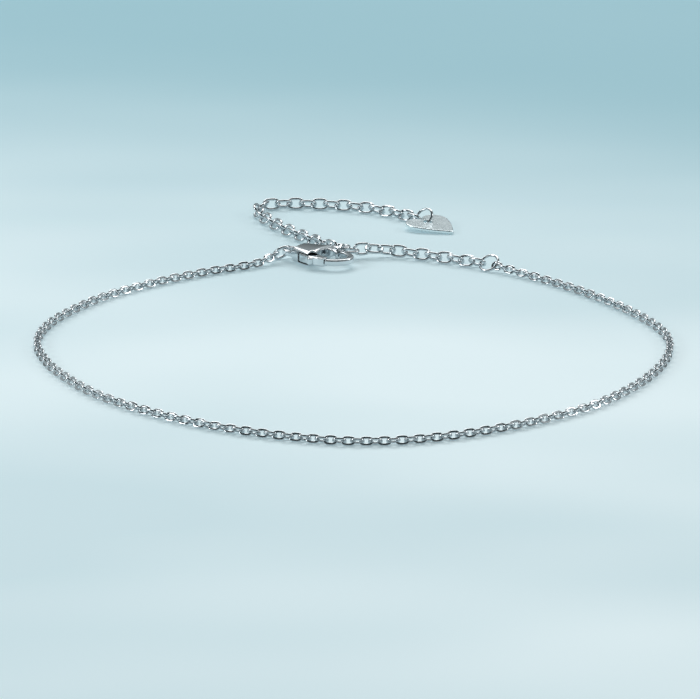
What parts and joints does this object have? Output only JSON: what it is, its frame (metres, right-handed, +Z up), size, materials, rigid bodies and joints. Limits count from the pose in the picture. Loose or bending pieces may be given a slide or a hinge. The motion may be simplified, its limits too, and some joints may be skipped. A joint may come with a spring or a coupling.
{
  "type": "chain anklet",
  "caption": "Fine cable-chain anklet laid in a closed loop, fastened by a lobster clasp on one link of an oval-link extender chain with a heart tag at its free end.",
  "frame": {"origin": "middle of the whole anklet's plan, on the surface that it lies on", "axes": "+X to the right along the clasp's stretch, +Y away from the viewer towards the extender's free end, +Z up from the surface"},
  "size_m": [0.075, 0.099, 0.0022],
  "materials": {
    "silver": "polished silver",
    "satin_silver": "finely brushed silver face with polished edge"
  },
  "bodies": {
    "anklet": {"main_chain": "silver", "clasp_jump_ring": "silver", "clasp_body": "silver", "extender_jump_ring": "silver", "extender_link_01": "silver", "extender_link_02": "silver", "extender_link_03": "silver", "extender_link_04": "silver", "extender_link_05": "silver", "extender_link_06": "silver", "extender_link_07": "silver", "extender_link_08": "silver", "extender_link_09": "silver", "extender_link_10": "silver", "extender_link_11": "silver", "extender_link_12": "silver", "extender_link_13": "silver", "extender_link_14": "silver", "extender_link_15": "silver", "extender_link_16": "silver", "extender_link_17": "silver", "extender_link_18": "silver", "extender_link_19": "silver", "extender_link_20": "silver", "extender_link_21": "silver", "extender_link_22": "silver", "extender_link_23": "silver", "extender_link_24": "silver", "extender_link_25": "silver", "extender_link_26": "silver", "extender_link_27": "silver", "extender_link_28": "silver", "extender_link_29": "silver", "extender_link_30": "silver", "extender_link_31": "silver", "extender_link_32": "silver", "extender_link_33": "silver", "extender_link_34": "silver", "extender_link_35": "silver", "extender_link_36": "silver", "extender_link_37": "silver", "extender_link_38": "silver", "extender_link_39": "silver", "extender_link_40": "silver", "extender_link_41": "silver", "extender_link_42": "silver", "extender_link_43": "silver", "extender_link_44": "silver", "tag_jump_ring": "silver", "heart_tag": "satin_silver"},
    "lever": {"clasp_lever": "silver"}
  },
  "joints": [
    {"name": "clasp_lever", "type": "hinge", "parent": "anklet", "child": "lever", "pos_m": [-0.00578, 0.02263, 0.00107], "axis": [0, 0, 1], "range_deg": [0, 22]}
  ]
}
